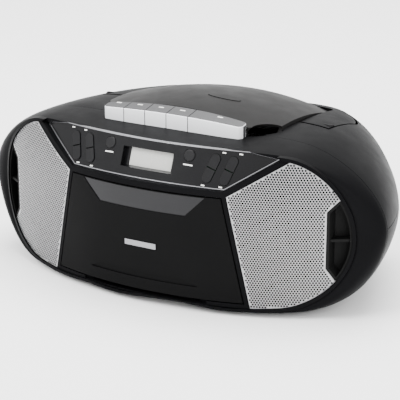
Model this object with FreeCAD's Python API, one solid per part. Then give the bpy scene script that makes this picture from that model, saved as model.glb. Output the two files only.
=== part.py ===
import FreeCAD
import Part
import math
import os

# Portable stereo with CD lid, cassette door and folding handle. Millimetres, +Z up, front towards -Y.

Vector = FreeCAD.Vector

# ---- casing
HALF_WIDTH = 206.0        # widest half section, at the parting plane
FRONT_Y = -118.0          # foremost point of the front face, on the centre line
BACK_Y = 114.0            # flat back of the casing
PARTING_Y = -43.0         # plane where the front cabinet meets the rear cabinets
SPLIT_Z = 82.0            # plane where the top cabinet meets the bottom cabinet
BASE_Z = 4.0              # underside of the casing, the height of the feet
TOP_Z = 149.5             # top of the casing at its crest
CREST_Y = -30.0           # where the casing is highest
TOP_RADIUS = 1000.0       # how the top falls towards the back
WIDEST_Z = 79.5           # height of the widest point
TOP_FLAT = 0.555          # flat share of the half section, the rest is the rounded corner
LOW_FLAT = 0.72
CORNER_POWER = 1.75       # 2 is an ellipse, less is more pointed
REAR_WIDEST_DROP = 6.0    # the widest point falls this much towards the back
REAR_LOW_FLAT = 0.56
REAR_REACH = 271.0        # plan curve behind the parting plane
REAR_POWER = 1.51
BACK_ROUND = 15.0         # rounding between the sides and the back
WALL = 2.6                # casing wall
FRONT_RADIUS = 322.0      # plan radius of the front face

GROOVE = 0.6              # width and depth of the line where two cabinets meet

# ---- front rim and face plate
RIM_HALF = 184.5
RIM_FLAT = 0.642
RIM_TOP = 147.5
RIM_BOTTOM = 6.0
RIM_WIDEST = 73.0
RIM_PROUD = 1.5           # rim stands this far in front of the face
RIM_LEAN = 8.0            # the face leans back this much at the top
LEAN_FROM = 103.0
PLATE_SET = 1.7           # face plate sits this far behind the face
PLATE = 2.4

# ---- cassette door and window
DOOR_TOP = 108.2
DOOR_BOTTOM = 12.6
DOOR_TOP_HALF = 76.0
DOOR_BOTTOM_HALF = 96.0
DOOR_GAP = 1.2
DOOR_THICK = 3.0
DOOR_FRAME = 3.6          # frame strip between the door and the grille
WINDOW_TOP_HALF = 61.9
WINDOW_BOTTOM_HALF = 43.8
WINDOW_BOTTOM = 89.2
DOOR_PIVOT_Y = -110.0
DOOR_PIVOT_Z = 15.5
DOOR_SWING_Z = 8.8        # the lower edge of the open door comes down to just above this

# ---- control panel
PANEL_TILT = 22.0
PANEL_RADIUS = 400.0
PANEL_Y = -106.0          # centre of the panel face at PANEL_Z
PANEL_Z = 129.0
PANEL_THICK = 2.5
PANEL_TIP = (120.5, 143.9)
PANEL_LOW = (77.3, 115.4)
PANEL_TOP = (94.0, 148.2)
TRIM = 0.7

# ---- buttons
ROUND_X = 40.5
ROUND_Z = 140.0
ROUND_R = 5.2
SLOT_X = (62.5, 78.5)
SLOT_Z = (131.6, 131.0)
SLOT_LENGTH = 27.0
SLOT_WIDTH = 8.6
SLOT_LEAN = 20.0
BUTTON_FIT = 0.35
BUTTON_TRAVEL = 0.9
DISPLAY_X = 1.4
DISPLAY_HALF = 21.4
DISPLAY_Z = (123.0, 139.6)
DISPLAY_SET = 5.6         # glass lies this far behind the panel face
RECESS_HALF = 26.0        # half width of the recess in front of the glass
RECESS_WALL = 1.2

# ---- cassette keys
KEY_END = 72.0
KEY_PITCH = 22.4
KEY_FRONT_Y = -62.6
KEY_DEPTH = 17.5
KEY_TOP_FRONT = 162.4
KEY_TOP_BACK = 165.2
KEY_CROWN = 1100.0        # radius of the crown over the key row
KEY_GAP = 0.8
KEY_BASE = 146.5
KEY_SHAFT_Y = -38.0
KEY_SHAFT_Z = 141.0
KEY_SHAFT_R = 1.5
KEY_FRONT_GAP = 1.6
KEY_BACK_BULGE = 6.0
KEYS = ("pause_key", "stop_key", "wind_key", "rewind_key", "play_key")

# ---- CD lid and deck
LID_HALF = 90.8
LID_FRONT_Y = -44.0
LID_BACK_Y = 88.0
LID_TOP = 167.0
LID_CREST_Y = -10.0
LID_RADIUS_Y = 330.0
LID_RADIUS_X = 300.0
LID_WALL = 2.4
LID_GAP = 0.9
LID_PIVOT_Y = 83.0
LID_PIVOT_Z = 141.5
LID_CORNER = (71.5, -48.0)
LID_SIDE_Y = -20.0
LID_SKIRT = 8.0
LID_PIN_X = 54.0
BADGE = (21.0, 1.0)       # centre of the plain oval on the lid
BADGE_SIZE = (17.0, 6.0)
CLAMP_TOP = 140.5
DECK_Z = 134.0
WELL_R = 61.0
WELL_FLOOR = 130.0
DISC_Y = 26.0
HUB_R = 7.3
SLED_X = 16.0
SLED_TRAVEL = 29.5
ROD_Y = (-8.0, 8.0)
ROD_Z = WELL_FLOOR - 11.0
ROD_R = 1.2

# ---- handle
ARM_INNER = 92.8
ARM_OUTER = 121.0
ARM_FRONT_Y = 15.0
BAR_BACK_Y = 103.0
BAR_FRONT_Y = 90.0
HANDLE_THICK = 14.0
HANDLE_GAP = 1.6
HANDLE_FRONT_GAP = 3.6
HANDLE_PIVOT_Y = 23.0
HANDLE_PIVOT_DROP = 7.5
HANDLE_FLOOR_GAP = 3.5
PIN_R = 2.0
PIN_LENGTH = 22.0
PIN_FIT = 0.05

# ---- speakers and side ports
SPEAKER_X = 125.0
SPEAKER_Z = 73.0
SPEAKER_R = 37.0
SPEAKER_BACK = 4.2
GRILLE_SET = 0.5
GRILLE_THICK = 1.0
GRILLE_GAP = 0.4
PORT = [(162.0, 48.0), (169.0, 37.0), (185.0, 37.0), (185.0, 110.0), (171.0, 110.0), (162.0, 100.0)]
PORT_RIB_Z = 72.0
PORT_DEPTH = 14.0

# ---- cassette mechanism
CASSETTE = (100.4, 63.8, 12.0)
HOLDER_BOTTOM = 27.0
CHASSIS_Y = -84.0
REEL_X = 21.25
CHASSIS_HALF = 64.0
CHASSIS_POST_X = 58.0
DOOR_PIN_X = 36.0
REEL_Z = 61.0
CAPSTAN = (24.0, 89.0)
MOTOR = (-48.0, 47.0)
FLYWHEEL_R = 24.0
PULLEY_R = 6.0
SHAFT_R = 1.0
CHASSIS_TOP = 112.0
BELT = 1.4
PINCH_R = 5.5
HEAD_TRAVEL = 4.0
LEDGE_Z = (23.5, 29.0)
LEDGE_HALF = 44.0
RUN_FIT = 0.05

# ---- rear and underside
BATTERY_HALF = 50.0
BATTERY_Z = (24.0, 66.0)
ANTENNA_Z = 102.0
ANTENNA_X = 54.0
ANTENNA_LENGTH = 112.0
ANTENNA_Y = BACK_Y + 9.5  # axis of the folded rods
ANTENNA_R = 3.2
MIDDLE_Y = (FRONT_Y - RIM_PROUD + ANTENNA_Y + ANTENNA_R + 0.8) / 2    # moved to the origin of the frame
SOCKET_X = 66.0
SOCKET_Z = 72.0
JACK_R = 1.75
BOARD_POST_X = 74.0
BOARD_Z = 90.0
SCREWS = [(-106.0, -28.0), (106.0, -28.0), (-64.0, 84.0), (64.0, 84.0)]
FEET = [(-105.0, -66.0), (105.0, -66.0), (-76.0, 66.0), (76.0, 66.0)]
FOOT_R = 7.0
FOOT_SET = 0.8            # feet sit this far into the underside
TRANSFORMER_X = (86.0, 122.0)


def box(x0, x1, y0, y1, z0, z1):
    return Part.makeBox(x1 - x0, y1 - y0, z1 - z0, Vector(x0, y0, z0))


def rod(start, axis, radius, length):
    return Part.makeCylinder(radius, length, Vector(*start), Vector(*axis))


def tube(start, axis, radius, bore, length):
    return rod(start, axis, radius, length).cut(rod(start, axis, bore, length))


def prism_y(points, y0, y1):
    """Front-view outline (x, z) made into a bar along Y."""
    corners = [Vector(x, y0, z) for x, z in points]
    wire = Part.makePolygon(corners + corners[:1])
    return Part.Face(wire).extrude(Vector(0, y1 - y0, 0))


def prism_z(points, z0, z1):
    """Plan outline (x, y) made into a bar along Z."""
    corners = [Vector(x, y, z0) for x, y in points]
    wire = Part.makePolygon(corners + corners[:1])
    return Part.Face(wire).extrude(Vector(0, 0, z1 - z0))


def mirrored(shape):
    return shape.mirror(Vector(0, 0, 0), Vector(1, 0, 0))


def join(shapes):
    whole = shapes[0]
    if len(shapes) > 1:
        whole = whole.fuse(shapes[1:])
    return whole.removeSplitter()


def save(name, shape):
    shape = shape.copy()
    shape.translate(Vector(0, -MIDDLE_Y, 0))
    shape.exportStep("parts/" + name + ".step")
    print(name, "solids", len(shape.Solids), "volume", round(shape.Volume), "valid", shape.isValid())


# ---------------------------------------------------------------- casing outline

def section_points(half, low_flat, top_flat, top, bottom, widest, power):
    """Closed outline (x, z): flat top and bottom joined by rounded corners."""
    steps = 7
    low_edge = half * low_flat
    top_edge = half * top_flat
    right = [(low_edge * 0.5, bottom)]
    for step in range(2 * steps + 1):
        angle = -math.pi / 2 + step * math.pi / (2 * steps)
        edge = top_edge if angle > 0 else low_edge
        height = (top - widest) if angle > 0 else (widest - bottom)
        across = abs(math.cos(angle)) ** (2 / power)
        up = abs(math.sin(angle)) ** (2 / power) * (1 if angle > 0 else -1)
        right.append((edge + (half - edge) * across, widest + height * up))
    right.append((top_edge * 0.5, top))
    left = [(-x, z) for x, z in reversed(right)]
    return [(0.0, bottom)] + right + [(0.0, top)] + left


def parting_points(inset):
    return section_points(HALF_WIDTH - inset, LOW_FLAT, TOP_FLAT, TOP_Z - inset, BASE_Z + inset, WIDEST_Z,
                          CORNER_POWER)


def rim_points(inset):
    return section_points(RIM_HALF - inset, RIM_FLAT, RIM_FLAT, RIM_TOP - inset, RIM_BOTTOM + inset,
                          RIM_WIDEST, 2.0)


def spacing(points):
    """Shared curve parameters, so that every section has the same knots."""
    lengths = [0.0]
    for here, there in zip(points, points[1:] + points[:1]):
        lengths.append(lengths[-1] + math.dist(here, there))
    return [length / lengths[-1] for length in lengths]


PARAMETERS = spacing(parting_points(0.0))


def loop(points):
    curve = Part.BSplineCurve()
    curve.interpolate(Points=[Vector(*point) for point in points], PeriodicFlag=True,
                      Parameters=PARAMETERS)
    return Part.Wire([curve.toShape()])


def rear_loop(y, inset):
    share = max(0.0, (y - PARTING_Y) / REAR_REACH)
    half = HALF_WIDTH * (1 - share ** REAR_POWER) ** (1 / REAR_POWER) - inset
    along = (y - PARTING_Y) / (BACK_Y - PARTING_Y)
    low_flat = LOW_FLAT + (REAR_LOW_FLAT - LOW_FLAT) * along
    widest = WIDEST_Z - REAR_WIDEST_DROP * along
    points = section_points(half, low_flat, TOP_FLAT, surface_z(y) - inset, BASE_Z + inset, widest,
                            CORNER_POWER)
    return loop([(x, y, z) for x, z in points])


def surface_z(y):
    """Height of the casing top on the centre line."""
    return TOP_Z - (y - CREST_Y) ** 2 / (2 * TOP_RADIUS)


def rear_solid(inset, lead=0.0):
    """Casing behind the parting plane, moved inwards by inset and led forward by lead."""
    round_start = BACK_Y - BACK_ROUND
    radius = BACK_ROUND - inset
    end_angle = math.asin(((round_start - PARTING_Y) / REAR_REACH) ** (REAR_POWER / 2))
    side_loops = []
    for step in range(8):
        share = math.sin(end_angle * step / 7) ** (2 / REAR_POWER)
        side_loops.append(rear_loop(PARTING_Y + share * REAR_REACH, inset))
    back_loops = []
    for step in range(6):
        angle = math.pi / 2 * step / 5
        depth = radius * (1 - math.cos(angle))
        back_loops.append(rear_loop(round_start + radius * math.sin(angle), inset + depth))
    pieces = [Part.makeLoft(side_loops, True, False), Part.makeLoft(back_loops, True, False)]
    if lead:
        pieces.append(Part.Face(rear_loop(PARTING_Y, inset)).extrude(Vector(0, -lead, 0)))
    return pieces[0].fuse(pieces[1:])


def face_y(x, z):
    """Depth of the curved front face at a front-view point."""
    arc = FRONT_RADIUS - math.sqrt(FRONT_RADIUS ** 2 - x ** 2)
    lean = RIM_LEAN * (max(0.0, z - LEAN_FROM) / (RIM_TOP - LEAN_FROM)) ** 2
    return FRONT_Y + arc + lean


def band_loop(turn, depth):
    """Curve on the front band: turn 0 is the rim, 90 the parting plane; depth is into the wall."""
    side = math.sin(math.radians(turn))
    back = math.cos(math.radians(turn))
    points = []
    for (x0, z0), (x1, z1) in zip(rim_points(1.0), parting_points(depth)):
        y0 = face_y(x0, z0) + 0.8 + depth
        points.append((x0 + (x1 - x0) * side, PARTING_Y - (PARTING_Y - y0) * back, z0 + (z1 - z0) * side))
    return loop(points)


def band_ring():
    """Wall between the rim and the parting plane."""
    turns = (0, 22, 45, 68, 90)
    outer = [band_loop(turn, 0.0) for turn in turns]
    inner = [band_loop(turn, WALL) for turn in turns]
    skin = Part.makeLoft(outer, False, False)
    lining = Part.makeLoft(inner, False, False)
    front = Part.makeRuledSurface(outer[0].Edges[0], inner[0].Edges[0])
    rear = Part.makeRuledSurface(outer[-1].Edges[0], inner[-1].Edges[0])
    return Part.makeSolid(Part.makeShell(skin.Faces + lining.Faces + front.Faces + rear.Faces))


def rim_prism(inset):
    """Bar with the rim's outline, along Y."""
    wire = loop([(x, -150.0, z) for x, z in rim_points(inset)])
    return Part.Face(wire).extrude(Vector(0, 110, 0))


def curved_slab(depth_at, half, low, high, start, thick):
    """Slab that follows y = depth_at(x, z) + start, thick along Y."""
    columns = 17
    rows = 11
    grid = []
    for i in range(columns):
        x = -half + 2 * half * i / (columns - 1)
        line = [(x, low + (high - low) * j / (rows - 1)) for j in range(rows)]
        grid.append([Vector(x, depth_at(x, z) + start, z) for x, z in line])
    surface = Part.BSplineSurface()
    surface.interpolate(grid)
    return surface.toShape().extrude(Vector(0, thick, 0))


def face_slab(start, thick):
    return curved_slab(face_y, 192.0, -2.0, 152.0, start, thick)


def panel_y(x, z):
    arc = PANEL_RADIUS - math.sqrt(PANEL_RADIUS ** 2 - x ** 2)
    return PANEL_Y + arc + math.tan(math.radians(PANEL_TILT)) * (z - PANEL_Z)


def panel_slab(start, thick):
    return curved_slab(panel_y, 150.0, 95.0, 165.0, start, thick)


def grown(points, distance):
    """Outline with every side moved outwards; points run anticlockwise."""
    sides = []
    for (x0, z0), (x1, z1) in zip(points, points[1:] + points[:1]):
        length = math.dist((x0, z0), (x1, z1))
        nx = (z1 - z0) / length
        nz = -(x1 - x0) / length
        sides.append((x0 + nx * distance, z0 + nz * distance, (x1 - x0) / length, (z1 - z0) / length))
    result = []
    for (ax, az, aux, auz), (bx, bz, bux, buz) in zip(sides[-1:] + sides[:-1], sides):
        cross = aux * buz - auz * bux
        along = ((bx - ax) * buz - (bz - az) * bux) / cross
        result.append((ax + aux * along, az + auz * along))
    return result


def both_sides(points):
    """Right-hand half outline completed with its mirror image, anticlockwise."""
    return points + [(-x, z) for x, z in reversed(points)]


DOOR = both_sides([(DOOR_BOTTOM_HALF, DOOR_BOTTOM), (DOOR_TOP_HALF, DOOR_TOP)])
WINDOW = both_sides([(WINDOW_BOTTOM_HALF, WINDOW_BOTTOM), (WINDOW_TOP_HALF, DOOR_TOP - 0.8)])
PANEL = both_sides([PANEL_LOW, PANEL_TIP, PANEL_TOP])


# ---------------------------------------------------------------- control panel and its buttons

def slot_places():
    """Centre and lean of the four button slots, left to right."""
    places = []
    for side in (-1, 1):
        for x, z in zip(SLOT_X, SLOT_Z):
            places.append((side * x, z, side * SLOT_LEAN))
    return sorted(places)


def panel_frame(x, z, lean=0.0):
    """Placement on the panel face: local X across, local Y up the panel, local Z outwards."""
    slope = math.degrees(math.asin(x / PANEL_RADIUS))
    turn = FreeCAD.Rotation(Vector(0, 0, 1), slope)
    turn = turn.multiply(FreeCAD.Rotation(Vector(1, 0, 0), 90 - PANEL_TILT))
    turn = turn.multiply(FreeCAD.Rotation(Vector(0, 0, 1), -lean))
    return FreeCAD.Placement(Vector(x, panel_y(x, z), z), turn)


def pill(length, width, low, high):
    """Rounded bar along local Y, from low to high along local Z."""
    straight = (length - width) / 2
    bar = box(-width / 2, width / 2, -straight, straight, low, high)
    for end in (-straight, straight):
        bar = bar.fuse(rod((0, end, low), (0, 0, 1), width / 2, high - low))
    return bar.removeSplitter()


def placed(shape, placement):
    shape = shape.copy()
    shape.Placement = placement.multiply(shape.Placement)
    return shape


def slot_hole(margin):
    holes = [placed(pill(SLOT_LENGTH + 2 * margin, SLOT_WIDTH + 2 * margin, -20, 10), panel_frame(*place))
             for place in slot_places()]
    return holes


def round_hole(margin):
    return [placed(rod((0, 0, -20), (0, 0, 1), ROUND_R + margin, 30), panel_frame(side * ROUND_X, ROUND_Z))
            for side in (-1, 1)]


def slot_button(place, upper):
    """One half of a slot: a pad with a stem to the button board."""
    half = pill(SLOT_LENGTH, SLOT_WIDTH, -3.0, 0.9)
    if upper:
        half = half.common(box(-9, 9, 0.5, 20, -4, 2))
    else:
        half = half.common(box(-9, 9, -20, -0.5, -4, 2))
    stem_y = 6.5 if upper else -6.5
    stem = rod((0, stem_y, -7.0), (0, 0, 1), 1.5, 4.5)
    return placed(half.fuse(stem), panel_frame(*place))


def round_button(side):
    cap = rod((0, 0, -3.0), (0, 0, 1), ROUND_R, 3.9)
    cap = cap.makeFillet(0.8, [edge for edge in cap.Edges if edge.CenterOfMass.z > 0.5])
    stem = rod((0, 0, -7.0), (0, 0, 1), 1.5, 4.5)
    return placed(cap.fuse(stem), panel_frame(side * ROUND_X, ROUND_Z))


def display_prism(left, right, margin):
    low = DISPLAY_Z[0] - margin
    high = DISPLAY_Z[1] + margin
    return prism_y([(left, low), (right, low), (right, high), (left, high)], -140, -60)


def display_wall(margin):
    wall = RECESS_HALF + RECESS_WALL + margin
    return display_prism(-wall, wall, RECESS_WALL + margin)


def display_glass(margin):
    return display_prism(DISPLAY_X - DISPLAY_HALF - margin, DISPLAY_X + DISPLAY_HALF + margin, margin)


def make_control_panel():
    panel = panel_slab(0.0, PANEL_THICK).common(prism_y(grown(PANEL, -TRIM - 0.1), -140, -60))
    for hole in slot_hole(BUTTON_FIT) + round_hole(BUTTON_FIT):
        panel = panel.cut(hole)
    panel = panel.fuse(panel_slab(PANEL_THICK / 2, 6.4).common(display_wall(0.0)))
    panel = panel.cut(panel_slab(-2.0, DISPLAY_SET + 1.6).common(display_wall(-RECESS_WALL)))
    return panel.cut(display_glass(0.15))


def make_panel_trim():
    ring = prism_y(PANEL, -140, -60).cut(prism_y(grown(PANEL, -TRIM), -140, -60))
    return panel_slab(-0.5, PANEL_THICK + 0.5).common(ring)


def make_display():
    return panel_slab(DISPLAY_SET, 2.6).common(display_glass(0.0))


def make_button_board():
    board = panel_slab(9.2, 1.6).common(prism_y(grown(PANEL, -6.0), -140, -60))
    return board


# ---------------------------------------------------------------- front cabinet

def key_row(margin, low, high):
    """Bar with the plan of the key row, grown by margin."""
    front = KEY_FRONT_Y - margin
    end = KEY_END + margin
    back = KEY_FRONT_Y + KEY_DEPTH + margin
    corner = back - KEY_BACK_BULGE
    arc = Part.Arc(Vector(end, corner, low), Vector(0, back, low), Vector(-end, corner, low)).toShape()
    sides = [Part.makeLine(Vector(-end, corner, low), Vector(-end, front, low)),
             Part.makeLine(Vector(-end, front, low), Vector(end, front, low)),
             Part.makeLine(Vector(end, front, low), Vector(end, corner, low))]
    bar = Part.Face(Part.Wire([arc] + sides)).extrude(Vector(0, 0, high - low))
    upright = [edge for edge in bar.Edges if abs(edge.Vertexes[0].X - edge.Vertexes[-1].X) < 0.01
               and abs(edge.Vertexes[0].Z - edge.Vertexes[-1].Z) > 1]
    return bar.makeFillet(4.6 + margin, upright)


def port_prism(margin):
    return prism_y(grown(PORT, margin), -140, -40)


def speaker_axis_hole(side, radius):
    return rod((side * SPEAKER_X, -150, SPEAKER_Z), (0, 1, 0), radius, 110)


def make_front_cabinet():
    rim = face_slab(-RIM_PROUD, 9.0).common(rim_prism(0.0).cut(rim_prism(WALL)))
    plate = face_slab(PLATE_SET, PLATE).common(rim_prism(WALL / 2))
    strip = prism_y(grown(DOOR, DOOR_GAP + DOOR_FRAME), -140, -60).cut(prism_y(grown(DOOR, DOOR_GAP), -141, -59))
    strip = face_slab(0.2, PLATE_SET + PLATE - 0.2).common(strip).common(rim_prism(WALL / 2))
    surround = prism_y(grown(PANEL, 6.0), -140, -60).cut(prism_y(grown(PANEL, 0.6), -141, -59))
    surround = surround.common(face_slab(0.2, 45.0)).common(panel_slab(-60.0, 60.0 + PANEL_THICK + 2.2))
    surround = surround.common(rim_prism(WALL / 2))
    bed = panel_slab(PANEL_THICK + 0.1, 2.0).common(prism_y(grown(PANEL, 3.0), -140, -60))
    bed = bed.common(rim_prism(0.5))
    plate = plate.cut(prism_y(grown(DOOR, DOOR_GAP), -140, -60))
    for side in (-1, 1):
        plate = plate.cut(speaker_axis_hole(side, SPEAKER_R - 3.5))
    ports = port_prism(0.3)
    plate = plate.cut(ports).cut(mirrored(ports))
    recess = panel_slab(-80.0, 80.0 + PANEL_THICK + 0.1).common(prism_y(grown(PANEL, 0.4), -140, -60))
    hood = panel_slab(-80.0, 77.0).common(prism_y(both_sides([(78.0, 119.0), (124.0, 144.5), (100.0, 163.0)]),
                                                  -140, -60))
    body = band_ring().fuse([rim, plate, strip, surround])
    body = body.cut(recess).cut(hood).fuse(bed)
    for hole in slot_hole(BUTTON_FIT + 0.4) + round_hole(BUTTON_FIT + 0.4):
        body = body.cut(hole)
    body = body.cut(display_wall(0.4))
    body = body.cut(key_opening()).cut(lid_prism(LID_GAP, 120, 200)).cut(scoop(2.5))
    body = body.cut(box(-64, 64, -125, DOOR_PIVOT_Y + 1, DOOR_SWING_Z, DOOR_BOTTOM))
    for side in (-1, 1):
        x = side * CHASSIS_POST_X
        post = box(x - 3, x + 3, CHASSIS_Y, CHASSIS_Y + 6, BASE_Z + 1, 34)
        ear_x = side * DOOR_PIN_X
        ear = box(ear_x - 2, ear_x + 2, DOOR_PIVOT_Y - 2.6, DOOR_PIVOT_Y + 4, RIM_BOTTOM + 1, DOOR_PIVOT_Z + 3.4)
        front = box(ear_x - 3, ear_x + 3, -125, DOOR_PIVOT_Y, DOOR_SWING_Z, DOOR_PIVOT_Z)
        ear = ear.cut(front.cut(rod((ear_x - 4, DOOR_PIVOT_Y, DOOR_PIVOT_Z), (1, 0, 0), PIN_R + 0.6, 8)))
        body = body.fuse([post, ear])
        body = body.cut(door_pin(side, PIN_FIT))
    # a sliver between the openings for the keys and the lid is dropped
    return max(body.cut(foot_recess()).Solids, key=lambda solid: solid.Volume)


def door_pin(side, fit):
    start = (side * (DOOR_PIN_X + 3), DOOR_PIVOT_Y, DOOR_PIVOT_Z)
    return rod(start, (-side, 0, 0), PIN_R + fit, PIN_LENGTH)


def key_opening():
    opening = key_row(KEY_GAP, 120, 175)
    front = key_row(KEY_GAP, 120, 175)
    front.translate(Vector(0, KEY_GAP - KEY_FRONT_GAP, 0))
    return opening.fuse(front)


def make_grille(side):
    """The right-hand sheet, or its mirror image."""
    sheet = face_slab(GRILLE_SET, GRILLE_THICK).common(box(20, 200, -140, -40, 0, 160))
    sheet = sheet.common(rim_prism(WALL + GRILLE_GAP))
    sheet = sheet.cut(prism_y(grown(DOOR, DOOR_GAP + DOOR_FRAME + GRILLE_GAP), -140, -60))
    sheet = sheet.cut(prism_y(grown(PANEL, 6.0 + GRILLE_GAP), -140, -60)).cut(port_prism(0.3))
    sheet = max(sheet.Solids, key=lambda solid: solid.Volume)
    return sheet if side > 0 else mirrored(sheet)


def make_side_port():
    tray = face_slab(0.4, PORT_DEPTH).common(port_prism(0.0)).common(rim_prism(WALL + 0.3))
    inside = face_slab(-3.0, PORT_DEPTH + 1.4).common(port_prism(-2.0)).common(rim_prism(WALL + 2.3))
    rib = face_slab(3.0, PORT_DEPTH - 3.6).common(port_prism(-0.5)).common(rim_prism(WALL + 0.6))
    rib = rib.common(box(150, 190, -140, -40, PORT_RIB_Z, PORT_RIB_Z + 2.4))
    return tray.cut(inside).fuse(rib)


# ---------------------------------------------------------------- rear cabinets

def shell_below(drop):
    """Full casing solid moved down by drop, for pieces that follow the top surface."""
    solid = rear_solid(0.0)
    solid.translate(Vector(0, 0, -drop))
    return solid


def lid_outline(margin):
    """Plan of the lid: straight sides and back, slanted front corners, front bowed round the keys."""
    side = LID_HALF + margin
    back = LID_BACK_Y + margin
    front = key_line_y() - margin
    corner_x, corner_y = LID_CORNER
    corner_y = corner_y - margin
    points = [(side, back), (-side, back), (-side, LID_SIDE_Y - margin * 0.6), (-corner_x, corner_y)]
    wire = [Part.makeLine(Vector(*a, 0), Vector(*b, 0)) for a, b in zip(points, points[1:])]
    bow = Part.Arc(Vector(-corner_x, corner_y, 0), Vector(0, front, 0), Vector(corner_x, corner_y, 0))
    wire.append(bow.toShape())
    wire.append(Part.makeLine(Vector(corner_x, corner_y, 0), Vector(side, LID_SIDE_Y - margin * 0.6, 0)))
    wire.append(Part.makeLine(Vector(side, LID_SIDE_Y - margin * 0.6, 0), Vector(side, back, 0)))
    return Part.Wire(wire)


def key_line_y():
    return KEY_FRONT_Y + KEY_DEPTH + KEY_GAP


def lid_prism(margin, low, high):
    bar = Part.Face(lid_outline(margin)).extrude(Vector(0, 0, high - low))
    bar.translate(Vector(0, 0, low))
    upright = [edge for edge in bar.Edges if abs(edge.Vertexes[0].Z - edge.Vertexes[-1].Z) > 1
               and edge.Vertexes[0].Y > 0]
    return bar.makeFillet(6.0 + margin, upright)


def lid_z(x, y):
    return LID_TOP - (y - LID_CREST_Y) ** 2 / (2 * LID_RADIUS_Y) - x ** 2 / (2 * LID_RADIUS_X)


def lid_dome(drop, depth):
    """Solid under the lid's domed surface, drop below it and depth thick along Z."""
    grid = []
    for i in range(9):
        x = -100.0 + 25.0 * i
        grid.append([Vector(x, y, lid_z(x, y) - drop) for y in [-70.0 + 20.0 * j for j in range(10)]])
    surface = Part.BSplineSurface()
    surface.interpolate(grid)
    return surface.toShape().extrude(Vector(0, 0, -depth))


def handle_plan(grow, front_grow, inner):
    """U shape in plan: two arms and a cross bar."""
    outer = ARM_OUTER + grow
    back = BAR_BACK_Y + 2 * grow    # the bar swings out as it lifts
    front = ARM_FRONT_Y - front_grow
    body = box(-outer, outer, front, back, 60, 200)
    rounded = [edge for edge in body.Edges if abs(edge.Vertexes[0].Z - edge.Vertexes[-1].Z) > 1
               and edge.Vertexes[0].Y > 50]
    body = body.makeFillet(34.0 + grow, rounded)
    hole = box(-inner, inner, front - 5, BAR_FRONT_Y - (ARM_INNER - inner), 50, 210)
    rounded = [edge for edge in hole.Edges if abs(edge.Vertexes[0].Z - edge.Vertexes[-1].Z) > 1
               and edge.Vertexes[0].Y > 50]
    return body.cut(hole.makeFillet(5.0, rounded))


def handle_pivot_z():
    return surface_z(HANDLE_PIVOT_Y) - HANDLE_PIVOT_DROP


def scoop(grow):
    """Finger scoop at the right front corner of the lid."""
    ball = Part.makeSphere(1.0)
    size = FreeCAD.Matrix()
    size.scale(18.0 + grow, 7.0 + grow, 8.5 + grow)
    ball = ball.transformGeometry(size)
    x0, y0 = LID_CORNER
    middle = Vector((x0 + LID_HALF) / 2 + 0.6, (y0 + LID_SIDE_Y) / 2 - 0.6, TOP_Z + 1.0)
    turn = math.degrees(math.atan2(LID_SIDE_Y - y0, LID_HALF - x0))
    ball.Placement = FreeCAD.Placement(middle, FreeCAD.Rotation(Vector(0, 0, 1), turn))
    return ball


def groove_ring(y0, y1):
    return rear_solid(-1.0).cut(rear_solid(GROOVE)).common(box(-250, 250, y0, y1, -20, 200))


def make_top_cabinet(shell):
    top = shell.common(box(-250, 250, PARTING_Y, 200, SPLIT_Z, 200))
    whole = shell_below(0.0)
    floor_drop = HANDLE_THICK + HANDLE_FLOOR_GAP
    block = handle_plan(HANDLE_GAP + WALL, HANDLE_FRONT_GAP + WALL, LID_HALF - 2.0)
    channel = block.common(whole).cut(shell_below(floor_drop + WALL)).common(box(-150, 150, -60, 150, SPLIT_Z, 160))
    around = whole.fuse(box(60, 100, -60, PARTING_Y, 130, TOP_Z - 1.0))
    bowl = scoop(2.2).common(around).common(box(0, 120, -60, 0, 130, TOP_Z))
    bowl = bowl.cut(lid_prism(LID_GAP, TOP_Z - 6.0, 200))
    top = top.cut(lid_prism(LID_GAP, 120, 200)).fuse([channel, bowl])
    space = handle_plan(HANDLE_GAP, HANDLE_FRONT_GAP, LID_HALF - 4.0).cut(shell_below(floor_drop))
    top = top.cut(space).cut(scoop(0.0)).cut(key_opening())
    top = top.cut(lid_prism(LID_GAP, DECK_Z + 3.5, 200))
    for side in (-1, 1):
        top = top.cut(handle_pin(side, PIN_FIT))
    top = top.cut(rod((ANTENNA_X, BACK_Y - 10, ANTENNA_Z), (0, 1, 0), 3.2, 20))
    return top


def handle_pin(side, fit):
    start = (side * (ARM_OUTER + HANDLE_GAP + WALL), HANDLE_PIVOT_Y, handle_pivot_z())
    return rod(start, (-side, 0, 0), PIN_R + fit, PIN_LENGTH)


def lid_pin(side, fit):
    start = (side * (LID_PIN_X + PIN_LENGTH / 2), LID_PIVOT_Y, LID_PIVOT_Z)
    return rod(start, (-side, 0, 0), PIN_R + fit, PIN_LENGTH)


def make_handle():
    handle = handle_plan(0.0, 0.0, ARM_INNER).common(shell_below(0.0)).cut(shell_below(HANDLE_THICK))
    pivot_z = handle_pivot_z()
    for side in (-1, 1):
        x0, x1 = sorted((side * ARM_INNER, side * ARM_OUTER))
        handle = handle.cut(box(x0 - 1, x1 + 1, ARM_FRONT_Y - 1, HANDLE_PIVOT_Y, pivot_z - 20, pivot_z))
        handle = handle.fuse(rod((x0, HANDLE_PIVOT_Y, pivot_z), (1, 0, 0), HANDLE_PIVOT_DROP - 0.6, x1 - x0))
        handle = handle.cut(handle_pin(side, PIN_FIT))
    return handle


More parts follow.
